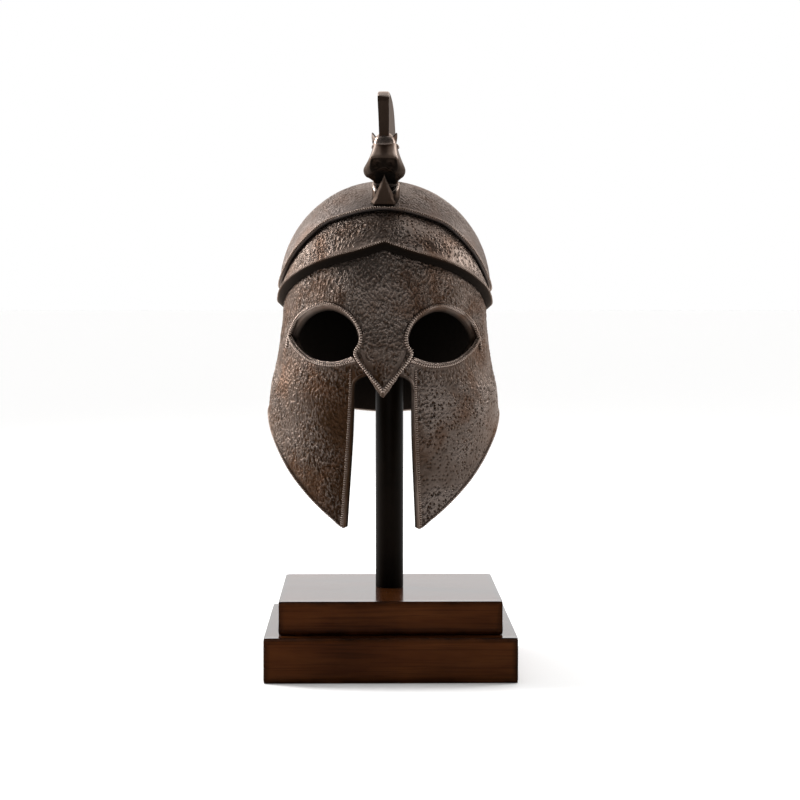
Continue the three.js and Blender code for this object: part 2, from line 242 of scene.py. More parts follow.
def noise(tree, place, scale, detail, roughness=0.5, distortion=0):
    inputs = {"Vector": place, "Scale": scale, "Detail": detail, "Roughness": roughness,
              "Distortion": distortion}
    return add(tree, "ShaderNodeTexNoise", inputs).outputs[0]


def tones(tree, value, *stops):
    """The colour for a value, blended between (value, colour) stops."""
    blend = add(tree, "ShaderNodeValToRGB", {"Fac": value})
    ends = blend.color_ramp.elements
    ends[0].position, ends[0].color = stops[0]
    ends[1].position, ends[1].color = stops[-1]
    for place, colour in stops[1:-1]:
        ends.new(place).color = colour
    return blend.outputs[0]


def bumps(tree, height, strength, distance):
    inputs = {"Height": height, "Strength": strength, "Distance": distance}
    return add(tree, "ShaderNodeBump", inputs).outputs[0]


def walnut():
    """Long grain from side to side, darker growth lines and pores, and edges rubbed nearly black."""
    material, tree, shader = new_material("dark_walnut")
    where = object_place(tree)
    figure = noise(tree, stretched(tree, where, (5, 34, 34)), 1.6, 6, 0.62, 0.6)
    pores = noise(tree, stretched(tree, where, (7, 330, 330)), 1.9, 3)
    cloud = noise(tree, where, 16, 3)
    tone = tones(tree, figure, (0.30, (0.048, 0.0125, 0.0032, 1)), (0.5, (0.068, 0.0198, 0.0050, 1)),
                 (0.72, (0.086, 0.027, 0.0072, 1)))
    torn = calculate(tree, "MULTIPLY", noted(tree, "rubbed"), noise(tree, where, 60, 4))
    pore_dark = spread(tree, pores, 0.36, 0.5, 0.7, 1.0)
    cloud_dark = spread(tree, cloud, 0.3, 0.7, 0.78, 1.15)
    edge_dark = spread(tree, torn, 0.06, 0.5, 1.0, 0.3)
    shade = calculate(tree, "MULTIPLY", calculate(tree, "MULTIPLY", pore_dark, cloud_dark), edge_dark)
    feed(tree, shader, {
        "Base Color": scaled(tree, tone, shade),
        "Roughness": spread(tree, cloud, 0.3, 0.7, 0.10, 0.17),
        "Normal": bumps(tree, pores, 0.10, 0.3 * mm),
        "Specular IOR Level": spread(tree, noted(tree, "top"), 0, 1, 0.02, 0.55),
    })
    return material


def wooden_block(name, node, material):
    """A block as big as its plain solid, its faces in fine squares so that its edges can be worn."""
    bottom, top = (np.array(corner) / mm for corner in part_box(node))
    square, edge = 3.4, 1.5
    steps = [max(2, round(length / square)) for length in top - bottom]
    points, faces = [], []
    for axis in range(3):
        across, up = (axis + 1) % 3, (axis + 2) % 3
        wide = steps[across] + 1
        for side in (bottom, top):
            for v in np.linspace(bottom[up], top[up], steps[up] + 1):
                for u in np.linspace(bottom[across], top[across], wide):
                    point = np.empty(3)
                    point[[axis, across, up]] = side[axis], u, v
                    points.append(point)
            first = len(points) - wide * (steps[up] + 1)
            for i in range(steps[up]):
                for j in range(first + i * wide, first + (i + 1) * wide - 1):
                    faces.append((j, j + 1, j + wide + 1, j + wide))
    piece = make_piece(name, points, faces, material, weld=True)
    points = places(piece)
    core = np.clip(points, bottom + edge, top - edge)
    out = points - core
    length = np.linalg.norm(out, axis=1, keepdims=True)
    put(piece, core + out / np.maximum(length, 1e-9) * np.minimum(length, edge))
    depth = np.sort(np.minimum(points - bottom, top - points), axis=1)[:, 1]
    note(piece, "rubbed", 1 - ease(depth, 0.5, 6.5))
    note(piece, "top", points[:, 2] > top[2] - edge / 2)
    smooth(piece, 60)
    assemble(piece, "dark_walnut", node)


dark_walnut = walnut()
wooden_block("stand_lower_block", "base_lower", dark_walnut)
wooden_block("stand_upper_block", "base_upper", dark_walnut)


# ---------------- steel post
# A round steel rod is screwed into the stand and painted satin black. A flat disc welded on its top end
# carries the helmet under the crown, out of sight.

def black_paint():
    """Satin black paint with faint brush lines up the rod and a little brown where it has rubbed thin."""
    material, tree, shader = new_material("black_steel")
    where = object_place(tree)
    lines = noise(tree, stretched(tree, where, (420, 420, 9)), 1, 4)
    feed(tree, shader, {
        "Base Color": tones(tree, noise(tree, where, 45, 5), (0.35, (0.0036, 0.0020, 0.0009, 1)),
                            (0.75, (0.0075, 0.0042, 0.0022, 1))),
        "Roughness": spread(tree, lines, 0, 1, 0.32, 0.5),
        "Normal": bumps(tree, lines, 0.12, 0.2 * mm),
        "Specular IOR Level": 0.03,
    })
    return material


def columns(*parts):
    """Points from their x and y and z, or x and z, each a list or one number for all."""
    return np.stack(np.broadcast_arrays(*parts), axis=-1)


def skin(rings, looped=False):
    """Points and faces over rings of points. Both ends are shut flat, or the last ring joins the first."""
    count = len(rings[0])
    strips = len(rings) if looped else len(rings) - 1
    faces = []
    for i in range(strips):
        here, there = i * count, (i + 1) % len(rings) * count
        for j in range(count):
            faces.append((here + j, here + (j + 1) % count, there + (j + 1) % count, there + j))
    if not looped:
        faces += [tuple(range(count))[::-1], tuple(range((len(rings) - 1) * count, len(rings) * count))]
    return np.concatenate(rings), faces


def turned(profile, sides):
    """Points and faces of a form turned on Z from (radius, height) corners, both ends on the axis."""
    a = np.arange(sides) * 2 * math.pi / sides
    points, faces = skin([columns(r * np.cos(a), r * np.sin(a), z) for r, z in profile])
    return points, faces[:-2]


def steel_post():
    bottom, top = (np.array(corner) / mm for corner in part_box("post"))
    rod, disc, thickness, edge = 12.5, (top[0] - bottom[0]) / 2, 6, 0.6
    under = top[2] - thickness
    profile = [
        (0, bottom[2]), (rod, bottom[2]), (rod, under - 2), (rod + 0.6, under - 0.6), (rod + 2, under),
        (disc - edge, under), (disc, under + edge), (disc, top[2] - edge), (disc - edge, top[2]), (0, top[2]),
    ]
    points, faces = turned(profile, 96)
    assemble(make_piece("steel_post", points, faces, black_paint(), weld=True), "black_steel", "post")


steel_post()


# ---------------- face mask
# The mask is one sheet of bronze, hammered over a form and pierced for the eyes and face. Its cheeks run down
# to points, and a thicker nasal stands proud between the eyes. Its walls turn in around every opening.

skull_side, skull_length, skull_height, skull_centre = 95, 110, 97.5, 340
mask_wall, under_band, mask_lap, reveal = 6, 4, 8, 8


def through(stations, first_slope=None):
    """A smooth curve through (place, value) stations that never overshoots them."""
    at, value = np.array(stations, float).T
    rises = np.diff(value) / np.diff(at)
    slopes = np.zeros(len(at))
    slopes[0] = rises[0] if first_slope is None else first_slope
    product = rises[:-1] * rises[1:]
    both_ways = product > 0
    total = np.where(both_ways, rises[:-1] + rises[1:], 1)
    slopes[1:-1] = np.where(both_ways, 2 * product / total, 0)

    def curve(place):
        i = np.clip(np.searchsorted(at, place) - 1, 0, len(at) - 2)
        span = at[i + 1] - at[i]
        u = np.clip((place - at[i]) / span, 0, 1)
        bends = span * (slopes[i] * u * (1 - u) ** 2 + slopes[i + 1] * u ** 2 * (u - 1))
        return value[i] + (value[i + 1] - value[i]) * u * u * (3 - 2 * u) + bends

    return curve


# Heights of the three layers' lower edges, by the turn in degrees from the middle of the face.
cap_edge = through([(0, 410), (40, 399.3), (60, 376), (75, 351.5), (90, 340), (115, 336), (180, 335)], 0)
band_edge = through([(0, 370.5), (14, 363.4), (33, 355.5), (46, 348.5), (65, 336), (90, 321), (180, 313)])
mask_edge = through([(0, 131.6), (18, 132), (24.5, 139.5), (45.6, 169), (72, 209), (90, 229), (108, 236),
                     (135, 232), (180, 223)], 0)

# The mask's half width, and its depths before and behind, by height.
mask_side = through([(131, 103.5), (229, 103.5), (251, 102), (272, 97.3), (294, 94), (316, 91.6), (340, 91)])
mask_front = through([(131, 97), (230, 99), (272, 102), (300, 105), (340, 106)])
mask_back = through([(131, 128), (223, 125), (240, 118), (262, 111.5), (290, 107.5), (316, 105.5),
                     (340, 106)])

nasal_rise = through([(246.6, 8), (285.5, 4), (318, 0)])
slot_inner = through([(131.6, 27.6), (235, 23), (272, 23)])
slot_outer = through([(131.6, 33.4), (272, 27)])

eye_rim = [(24.3, 284.5), (20.5, 291.5), (19.3, 299), (24.6, 312), (36, 322.5), (51, 326.5), (65.5, 321.8),
           (76.5, 313), (84, 297), (79, 289), (65, 277.7), (52, 274), (38, 274.3), (24.5, 278.5)]
eye_hole = [(25.3, 284.6), (23.6, 290.5), (23, 297.5), (26.8, 307.7), (35, 314.6), (45.5, 318.3), (56, 315.8),
            (64, 309.5), (71, 297), (68, 288), (60, 280.5), (50, 277.6), (38, 277.8), (25, 280)]
lid_tail = (85.5, 287.5)
nasal_foot = [(0, 246.6), (3, 249.2), (23, 285.5), (19.5, 298), (17, 308), (0, 318)]
nasal_face = [(0, 252.4), (1.5, 254.6), (19.6, 286), (17.5, 298), (15, 307), (0, 316)]
nasal_thickness, nasal_buried = 8, 5


def on_skull_at(turn, polar, out):
    """Points of the skull form at turns and angles from the crown, moved out along its normals."""
    turn = np.radians(turn)
    unit = columns(np.sin(polar) * np.sin(turn), -np.sin(polar) * np.cos(turn), np.cos(polar))
    radii = np.array([skull_side, skull_length, skull_height])
    normal = unit / radii
    normal = normal / np.linalg.norm(normal, axis=-1, keepdims=True)
    return unit * radii + (0, 0, skull_centre) + normal * np.asarray(out)[..., None]


def polar_of(z):
    """The skull form's angle from the crown at a height."""
    return np.arccos(np.clip((z - skull_centre) / skull_height, -1, 1))


def mask_section(z, behind):
    """The mask's half width and depth at a height: from its own curves, and above them from the skull's."""
    rise = np.sqrt(np.clip(1 - (np.maximum(z - skull_centre, 0) / skull_height) ** 2, 0, 1))
    own = z <= skull_centre
    side = np.where(own, mask_side(z), skull_side * rise - under_band)
    depth = np.where(own, np.where(behind, mask_back(z), mask_front(z)), skull_length * rise - under_band)
    return side, depth


def on_mask(turn, z, inset):
    """Points of the mask at turns and heights, moved in by an inset."""
    turn, z = np.broadcast_arrays(np.radians(turn), z)
    side, depth = mask_section(z, np.cos(turn) < 0)
    return columns((side - inset) * np.sin(turn), (inset - depth) * np.cos(turn), z)


def front_y(x, z, inset=0):
    """How far forward the mask's front is at places seen from ahead."""
    side, depth = mask_section(z, False)
    return (inset - depth) * np.sqrt(np.clip(1 - (x / (side - inset)) ** 2, 0, 1))


def face_y(x, z):
    """The same for the finished face, with the nasal standing proud."""
    return front_y(x, z) - nasal_rise(z) * (1 - ease(np.abs(x), 20, 28))


def flowing(points, steps, closed=False):
    """A smooth line through points, with this many steps from each to the next."""
    points = np.array(points, float)
    if closed:
        padded = np.concatenate((points[-1:], points, points[:2]))
    else:
        padded = np.concatenate((2 * points[:1] - points[1:2], points, 2 * points[-1:] - points[-2:-1]))
    line = []
    for p0, p1, p2, p3 in zip(padded, padded[1:], padded[2:], padded[3:]):
        d0, d1, d2 = (math.sqrt(np.linalg.norm(b - a)) for a, b in ((p0, p1), (p1, p2), (p2, p3)))
        start = d1 * ((p1 - p0) / d0 - (p2 - p0) / (d0 + d1)) + (p2 - p1)
        end = d1 * ((p3 - p2) / d2 - (p3 - p1) / (d1 + d2)) + (p2 - p1)
        for u in np.arange(steps) / steps:
            line.append(p1 + start * u + (3 * (p2 - p1) - 2 * start - end) * u ** 2
                        + (start + end - 2 * (p2 - p1)) * u ** 3)
    if not closed:
        line.append(points[-1])
    return np.array(line)


def keep(piece, change):
    """Keeps what a modifier makes of a piece as its plain mesh."""
    piece.data = bpy.data.meshes.new_from_object(piece.evaluated_get(bpy.context.evaluated_depsgraph_get()))
    piece.modifiers.remove(change)


def cut_or_join(piece, tool, operation):
    """Cuts a tool out of a piece, or joins it on, and throws the tool away."""
    change = piece.modifiers.new("change", "BOOLEAN")
    change.operation = operation
    change.solver = "MANIFOLD"
    change.object = tool
    keep(piece, change)
    bpy.data.objects.remove(tool)


# Turns of the columns of points: close together over the face, wider apart behind.
around = np.concatenate((np.arange(-100, 100, 0.5), np.linspace(100, 260, 120, endpoint=False)))
around = np.where(around > 180, around - 360, around)
bare = bpy.data.materials.new("bare")


def mask_shell():
    """The wall from the cheek points up to its lap under the band, with a beaded lower edge."""
    low_edge = mask_edge(np.abs(around))
    high_edge = band_edge(np.abs(around)) + mask_lap

    def row(share, lift, inset):
        start = low_edge + lift
        return on_mask(around, start + (high_edge - start) * share, inset)

    lip = [(0.9, 4.2), (0.2, 2.2), (0, 0.6), (0.4, -0.5), (1.2, -1.1), (2.1, -0.9), (2.8, -0.1)]
    rings = [row(0, lift, inset) for lift, inset in lip]
    rings += [row(share, 3.4, 0) for share in np.linspace(0, 1, 165)]
    rings += [row(share, 1.6, mask_wall) for share in np.linspace(1, 0, 10)]
    return make_piece("face_mask", *skin(rings, looped=True), bare)


def opening(outside, inside, end_y):
    """The room that an opening leaves: straight in to the surface, then narrowing through the wall in two
    bands with a crease between them."""
    rings = [columns(outside[:, 0], -140, outside[:, 1])]
    for share, widen in ((0, 0), (0.2, 0.35), (0.38, 0.15), (0.42, 0.7), (0.47, 0.1), (0.75, 0.25), (1, 0)):
        outline = outside + (inside - outside) * share
        outward = outline - outline.mean(axis=0)
        outline = outline + widen * outward / np.linalg.norm(outward, axis=1, keepdims=True)
        x, z = outline.T
        rings.append(columns(x, front_y(x, z, 0.5 + (reveal - 0.5) * share), z))
    rings.append(columns(inside[:, 0], end_y, inside[:, 1]))
    return make_piece("opening", *skin(rings), bare)


def slot_outline(half, top):
    """The face slot seen from ahead, from below the cheek points up to its low arch."""
    heights = np.concatenate((np.linspace(120, 252, 60), [254]))
    right = columns(half(heights), heights)
    foot = 255
    bend = np.linspace(0.05, 0.95, 25) * math.pi
    arch = columns(np.cos(bend) * half(foot + 1.0), foot + np.sin(bend) ** 0.8 * (top - foot))
    left = right[::-1] * (-1, 1)
    return np.concatenate((right, arch, left))


def nasal():
    """A plate with sloping sides: its face is laid across between the two sides of its outline."""
    def outline(half):
        mirrored = [(-x, z) for x, z in half[1:2]] + half
        return flowing(mirrored, 14)[14:]

    face, foot = outline(nasal_face), outline(nasal_foot)
    rings = []
    for (face_x, face_z), (foot_x, foot_z) in zip(face, foot):
        foot_y = min(face_y(foot_x, foot_z) + nasal_thickness, front_y(foot_x, foot_z) + nasal_buried)
        across = face_x * np.linspace(-1, 1, 25)
        front = columns(across, face_y(across, face_z), face_z)
        right = [(face_x + 0.3, front[0, 1] + 0.8, face_z - 0.4), (foot_x, foot_y, foot_z)]
        left = [(-x, y, z) for x, y, z in right[::-1]]
        rings.append(np.array([*left, *front, *right]))
    return make_piece("nasal", *skin(rings), bare, weld=True)


def eye_outline(outline, side):
    return flowing(outline, 12, closed=True) * (side, 1)


def nearness(points, lines):
    """Each point's distance from the nearest of some lines of points."""
    line_points = np.concatenate(lines)
    tree = kdtree.KDTree(len(line_points))
    for i, point in enumerate(line_points):
        tree.insert(point, i)
    tree.balance()
    return np.array([tree.find(point)[2] for point in points])


def on_face(outline):
    """Points of the finished face at places seen from ahead."""
    x, z = np.asarray(outline, float).T
    return columns(x, face_y(x, z), z)


mask = mask_shell()
for side in (1, -1):
    cut_or_join(mask, opening(eye_outline(eye_rim, side), eye_outline(eye_hole, side), -20), "DIFFERENCE")
cut_or_join(mask, opening(slot_outline(slot_outer, 270), slot_outline(slot_inner, 264), -60), "DIFFERENCE")
cut_or_join(mask, nasal(), "UNION")
smooth(mask, 40)


def field(tree, name):
    """A number kept at the piece's points, for its nodes."""
    return add(tree, "GeometryNodeInputNamedAttribute", {"Name": name}, data_type="FLOAT").outputs[0]


def new_nodes(name, numbers):
    """An empty Geometry Nodes tree that takes a shape, named numbers and a material, and gives a shape."""
    tree = bpy.data.node_groups.new(name, "GeometryNodeTree")
    kinds = {"Geometry": "Geometry", **dict.fromkeys(numbers, "Float"), "Finish": "Material"}
    for socket, kind in kinds.items():
        tree.interface.new_socket(socket, in_out="INPUT", socket_type="NodeSocket" + kind)
    tree.interface.new_socket("Geometry", in_out="OUTPUT", socket_type="NodeSocketGeometry")
    return tree, tree.nodes.new("NodeGroupInput").outputs, tree.nodes.new("NodeGroupOutput")


def finish_tree(tree, shape, finish, end):
    """Ends a tree: everything made real, and given its material."""
    real = add(tree, "GeometryNodeRealizeInstances", {"Geometry": shape}).outputs[0]
    done = add(tree, "GeometryNodeSetMaterial", {"Geometry": real, "Material": finish}).outputs[0]
    tree.links.new(done, end.inputs[0])


def work(piece, tree, **values):
    """Runs a tree on a piece and keeps the result as its plain mesh."""
    change = piece.modifiers.new("work", "NODES")
    change.node_group = tree
    for item in tree.interface.items_tree:
        if item.in_out == "INPUT" and item.name in values:
            change[item.identifier] = values[item.name]
    keep(piece, change)


def on_vectors(tree, operation, *values):
    return add(tree, "ShaderNodeVectorMath", dict(enumerate(values)), operation=operation).outputs[0]


def beaten_height(tree, place, ridge_scale, pit_scale, punched, beaten):
    """The height of a hammered skin about its own level, from -0.5 to 0.5: short ridges standing mostly
    upright, or where it is punched, round pits in a smoother ground. It is 0 where the skin isn't beaten."""
    wander = add(tree, "ShaderNodeTexNoise", {"Vector": place, "Scale": 130, "Detail": 0}).outputs["Color"]
    centred = on_vectors(tree, "SUBTRACT", wander, (0.5, 0.5, 0.5))
    strayed = on_vectors(tree, "MULTIPLY_ADD", centred, (0.002, 0.002, 0.002), place)
    upright = on_vectors(tree, "MULTIPLY", strayed, (1, 1, 0.7))
    ridges = spread(tree, noise(tree, upright, ridge_scale, 2), 0.33, 0.67, 0, 1)
    pits = add(tree, "ShaderNodeTexVoronoi", {"Vector": strayed, "Scale": pit_scale, "Randomness": 0.75},
               feature="F1").outputs["Distance"]
    pits = spread(tree, pits, 0.10, 0.46, -0.02, 0.85, interpolation_type="SMOOTHSTEP")
    pits = calculate(tree, "MULTIPLY_ADD", calculate(tree, "SUBTRACT", ridges, 0.5), 0.25, pits)
    relief = calculate(tree, "SUBTRACT", between(tree, punched, ridges, pits), 0.5)
    patches = spread(tree, noise(tree, place, 27, 1), 0.38, 0.6, 0.3, 1.0)
    return calculate(tree, "MULTIPLY", relief, calculate(tree, "MULTIPLY", beaten, patches))


def hammer_marks():
    """Beats a skin with ridges and pits, as strongly as its points are noted to be beaten."""
    tree, given, end = new_nodes("hammer_marks", ["Depth", "Ridge size", "Pit size"])
    place = add(tree, "GeometryNodeInputPosition", {}).outputs[0]
    ridge_scale = calculate(tree, "DIVIDE", 1.0, given["Ridge size"])
    pit_scale = calculate(tree, "DIVIDE", 1.0, given["Pit size"])
    height = beaten_height(tree, place, ridge_scale, pit_scale, field(tree, "punched"), field(tree, "beaten"))
    rise = calculate(tree, "MULTIPLY", height, given["Depth"])
    offset = scaled(tree, add(tree, "GeometryNodeInputNormal", {}).outputs[0], rise)
    marked = add(tree, "GeometryNodeSetPosition", {"Geometry": given["Geometry"], "Offset": offset})
    finish_tree(tree, marked.outputs[0], given["Finish"], end)
    return tree


def bronze(name, high_tone, low_tone, roughness, marks=None):
    """Old bronze: grey brown where rubbed and where a highlight is painted, dark brown in its hollows and
    where shade is painted, near black where a piece notes painted shade, with warm stains and a fine grain. A
    hammered finish repeats the marks of the skin that it covers, so that they stay crisp."""
    material, tree, shader = new_material(name)
    where = object_place(tree)

    def blended(share, low, high):
        inputs = {"Factor": share, 6: low, 7: high}
        return add(tree, "ShaderNodeMix", inputs, data_type="RGBA").outputs[2]

    surface = calculate(tree, "MULTIPLY", noise(tree, where, 800, 2), 0.12)
    clouded = spread(tree, noise(tree, where, 26, 5, 0.6), 0.3, 0.7, 0.2, 0.8)
    depth = 0.3 * mm
    if marks:
        height = beaten_height(tree, where, 1 / marks["Ridge size"], 1 / marks["Pit size"],
                               noted(tree, "punched"), noted(tree, "beaten"))
        surface = calculate(tree, "ADD", surface, height)
        clouded = calculate(tree, "MULTIPLY_ADD", height, 1.25, clouded)
        depth = max(depth, marks["Depth"])
    # The numbers noted on each piece add real wear, and paint highlights where they are above 0 and shade
    # where below.
    patches = calculate(tree, "ADD", clouded, noted(tree, "wear_and_light"))
    patches = add(tree, "ShaderNodeClamp", {0: patches}).outputs[0]
    rusty = spread(tree, noise(tree, where, 21, 4, 0.5, 0.8), 0.49, 0.66, 0.0, 0.7)
    stained_and_lit = blended(rusty, blended(patches, low_tone, high_tone), (0.062, 0.028, 0.013, 1))
    # Where a piece notes it, the colour goes near black and dull: painted shade inside the helmet, under the
    # band's lip and the cap's rim, and in the beast's mouth, nose and under its jaw; the crest and spike are
    # dimmed a little.
    inside = noted(tree, "inside")
    dull = spread(tree, patches, 0, 1, roughness + 0.12, roughness - 0.05)
    feed(tree, shader, {
        "Base Color": blended(inside, stained_and_lit, (0.004, 0.0028, 0.002, 1)),
        "Roughness": between(tree, inside, dull, 0.8),
        "Normal": bumps(tree, surface, 1.0, depth),
        "Metallic": 0.8,
        "Specular IOR Level": 0.28,
        "Specular Tint": (0.95, 0.82, 0.74, 1),
    })
    return material


# The helmet hangs a little to one side of its post, and is turned and tipped slightly.
seat_shift, seat_turn, seat_tip, seat_pivot = -4.4, -1, 0.7, 300
seated = (Matrix.Translation((seat_shift, 0, seat_pivot)) @ Matrix.Rotation(math.radians(seat_tip), 4, "Y")
          @ Matrix.Rotation(math.radians(seat_turn), 4, "Z") @ Matrix.Translation((0, 0, -seat_pivot)))


def seat(piece):
    """Takes a piece from the helmet's own upright place to where it hangs on the post."""
    points = places(piece)
    put(piece, points @ np.array(seated.to_3x3()).T + np.array(seated.translation))


def beat(piece, finish, marks):
    """Hangs a piece in its place and beats its marks into it."""
    seat(piece)
    work(piece, hammering, Finish=finish, **marks)


hammering = hammer_marks()
marks = {"Depth": 1.05 * mm, "Ridge size": 1.9 * mm, "Pit size": 3.4 * mm}
hammered_bronze = bronze("hammered_bronze", (0.13, 0.104, 0.090, 1), (0.030, 0.0135, 0.005, 1), 0.28, marks)


def mask_lines():
    """The lines that the hammering stops short of: every rim, the nasal's edge and the lower edge."""
    lines = []
    for side in (1, -1):
        lines.append(on_face(eye_outline(eye_rim, side)))
        heights = np.arange(131, 272, 1.5)
        lines.append(on_face(columns(side * slot_outer(heights), heights)))
        lines.append(on_face(flowing(nasal_face[:3], 20) * (side, 1)))
    lines.append(on_mask(around, mask_edge(np.abs(around)), 0))
    return lines


x, y, z = places(mask).T
side, depth = mask_section(z, y > 0)
reach = np.hypot(x / side, y / depth)
note(mask, "beaten", ease(nearness(places(mask), mask_lines()), 1.4, 3.6) * ease(reach, 0.975, 0.99))
# Painted shade: the inside of the mask and the deeper part of each opening's walls are painted near black.
note(mask, "inside", 1 - ease(reach, 0.947, 0.97))
note(mask, "punched", ease(x, 22, 45) * (1 - ease(z, 252, 266)))
# Painted light: the brow is made lighter, as a painted highlight from above, and the inner part of the left
# cheek darker, as painted shade.
left_cheek = (1 - ease(-x, 38, 84)) * ease(-x, -4, 4) * (1 - ease(z, 258, 285))
brow = ease(z, 285, 310) * (1 - ease(np.abs(x), 30, 60))
note(mask, "wear_and_light", 0.25 * brow - 0.5 * left_cheek)
beat(mask, hammered_bronze, marks)
assemble(mask, "hammered_bronze", "face_mask")


# ---------------- rope rims
# Round bronze wire, beaded with a chasing tool to look like fine rope, is soldered along the mask's edges:
# over each eye and down the nasal, under each eye with a finer roll behind it, up the cheeks, and all along
# the lower edge.

def rope():
    """A wire of a given radius along each line of points, with a bead at every pitch."""
    tree, given, end = new_nodes("rope", ["Radius", "Pitch"])
    lines = add(tree, "GeometryNodeMeshToCurve", {"Mesh": given["Geometry"]}).outputs[0]
    core = calculate(tree, "MULTIPLY", given["Radius"], 0.66)
    round_wire = add(tree, "GeometryNodeCurvePrimitiveCircle", {"Resolution": 10, "Radius": core})
    thin = add(tree, "GeometryNodeCurveToMesh", {"Curve": lines, "Profile Curve": round_wire.outputs[0],
                                                 "Fill Caps": True})
    round_bead = {"Segments": 8, "Rings": 6, "Radius": given["Radius"]}
    ball = add(tree, "GeometryNodeMeshUVSphere", round_bead).outputs[0]
    squash = add(tree, "ShaderNodeCombineXYZ", {0: 1.0, 1: 1.0, 2: 0.56}).outputs[0]
    bead = add(tree, "GeometryNodeTransform", {"Geometry": ball, "Scale": squash}).outputs[0]
    spots = add(tree, "GeometryNodeCurveToPoints", {"Curve": lines, "Length": given["Pitch"]}, mode="LENGTH")
    beads = add(tree, "GeometryNodeInstanceOnPoints", {"Points": spots.outputs["Points"], "Instance": bead,
                                                       "Rotation": spots.outputs["Rotation"]}).outputs[0]
    beads = add(tree, "GeometryNodeRealizeInstances", {0: beads}).outputs[0]
    both = tree.nodes.new("GeometryNodeJoinGeometry")
    for part, rubbed in ((thin.outputs[0], -0.9), (beads, 0.3)):
        inputs = {"Geometry": part, "Name": "wear_and_light", "Value": rubbed}
        kept = add(tree, "GeometryNodeStoreNamedAttribute", inputs, data_type="FLOAT", domain="POINT")
        tree.links.new(kept.outputs[0], both.inputs[0])
    even = add(tree, "GeometryNodeSetShadeSmooth", {"Geometry": both.outputs[0]}).outputs[0]
    finish_tree(tree, even, given["Finish"], end)
    return tree


def lay_rope(name, lines, radius, pitch, material):
    """Lays rope along lines of points on the helmet."""
    counts = np.cumsum([0] + [len(line) for line in lines])
    edges = [(i, i + 1) for start, stop in zip(counts, counts[1:]) for i in range(start, stop - 1)]
    mesh = bpy.data.meshes.new(name)
    mesh.from_pydata((np.concatenate(lines) * mm).tolist(), edges, [])
    piece = new_object(name, mesh)
    work(piece, rope_tree, Radius=radius * mm, Pitch=pitch * mm, Finish=material)
    seat(piece)
    assemble(piece, "hammered_bronze")


rope_tree = rope()
rim_bronze = bronze("rim_bronze", (0.36, 0.29, 0.25, 1), (0.05, 0.03, 0.02, 1), 0.26)
proud = np.array((0, -0.9, 0))
eye_lines, edge_lines, lower_lids = [], [], []
upper = flowing([lid_tail, *eye_rim[8::-1], *nasal_face[1::-1]], 14)
lower = flowing(eye_rim[8:], 12)
heights = np.linspace(270, 134, 60)
cheek = columns(slot_outer(heights) + 1.2, heights)
for side in (1, -1):
    eye_lines += [on_face(upper * (side, 1)) + proud, on_face(lower * (side, 1)) + proud]
    edge_lines.append(on_face(cheek * (side, 1)) + proud)
    lid = on_face(lower * (side, 1))
    middle = lid.mean(axis=0)
    lower_lids.append((lid - middle) * (0.94, 1, 0.97) + middle + (0, 0.3, 1.6))
lower_turns = np.linspace(20, 340, 500)
lower_turns = np.where(lower_turns > 180, lower_turns - 360, lower_turns)
edge_lines.append(on_mask(lower_turns, mask_edge(np.abs(lower_turns)) + 1.3, -0.4))
lay_rope("eye_rope_rims", eye_lines, 1.9, 2.1, rim_bronze)
lay_rope("eyelid_rolls", lower_lids, 1.5, 0.9, rim_bronze)
lay_rope("edge_rope_rims", edge_lines, 1.2, 1.9, rim_bronze)


# ---------------- brow band
# A second sheet of bronze wraps the brow over the mask, rising to a point in front. Its foot is folded into a
# smooth lip that slopes back in to the mask, with a fine rope soldered along the fold. Its top runs under the
# cap.

gap, cap_thickness, band_thickness, band_lap = 0.3, 3, 3.7, 6
lip_height, lip_out, front_lift = 6.2, 2.1, 3.4


def lip_edge(turns):
    """The lip's lower edge, lifted over the brow."""
    return band_edge(turns) + front_lift * (1 - ease(turns, 60, 110))


def note_rings(piece, name, values):
    """Keeps a number for each ring of a piece's points."""
    note(piece, name, np.repeat(values, len(around)))


def brow_band():
    low_edge, high_edge = lip_edge(np.abs(around)), cap_edge(np.abs(around))
    lip = through([(0, -3.4), (0.8, -1.8), (2, -0.4), (3.6, 0.9), (5.2, 2), (5.9, 2.4), (6.6, 2.2), (8.6, 1),
                   (12, 0.2), (16, 0)])
    under_cap = -cap_thickness - gap
    rings = [on_mask(around, low_edge, -gap)]
    for step in (0.2, 0.6, 1.2, 1.9, 2.6, 3.3, 4, 4.7, 5.3, 5.8, lip_height):
        rings.append(on_skull_at(around, polar_of(low_edge + step), lip(step)))
    lip_rows = len(rings)
    start, finish = low_edge + lip_height + 0.4, high_edge - 2
    sink = through([(0, 0), (0.55, -0.8), (1, under_cap)], 0)
    for share in np.linspace(0, 1, 34):
        height = start + (finish - start) * share
        fade = lip(height - low_edge) * (1 - share)
        rings.append(on_skull_at(around, polar_of(height), sink(share) + fade))
    hidden = [
        on_skull_at(around, polar_of(high_edge + band_lap), under_cap),
        on_skull_at(around, polar_of(high_edge + band_lap), under_cap - band_thickness),
        on_mask(around, low_edge + mask_lap + 1.6, band_thickness - gap),
        on_mask(around, low_edge + mask_lap + 0.7, -gap),
    ]
    piece = make_piece("brow_band", *skin(rings + hidden, looped=True), bare, sharpest=50)
    rows = np.arange(len(rings) + len(hidden))
    on_lip = rows < lip_rows - 1
    note_rings(piece, "beaten", ease(rows, lip_rows - 1, lip_rows + 3) * (rows < len(rings)))
    # Painted shade: the lip is dark brown, and near black low down where it turns under; the hidden rows
    # under the cap and over the mask are near black too. The rest of the band is made a little lighter.
    note_rings(piece, "inside", np.where(on_lip, 0.98 - 0.6 * ease(rows, 6, 12), rows > len(rings)))
    note_rings(piece, "wear_and_light", np.where(on_lip, -0.8, 0.2))
    note(piece, "punched", np.tile(ease(around, 2, 14), len(rows)))
    return piece


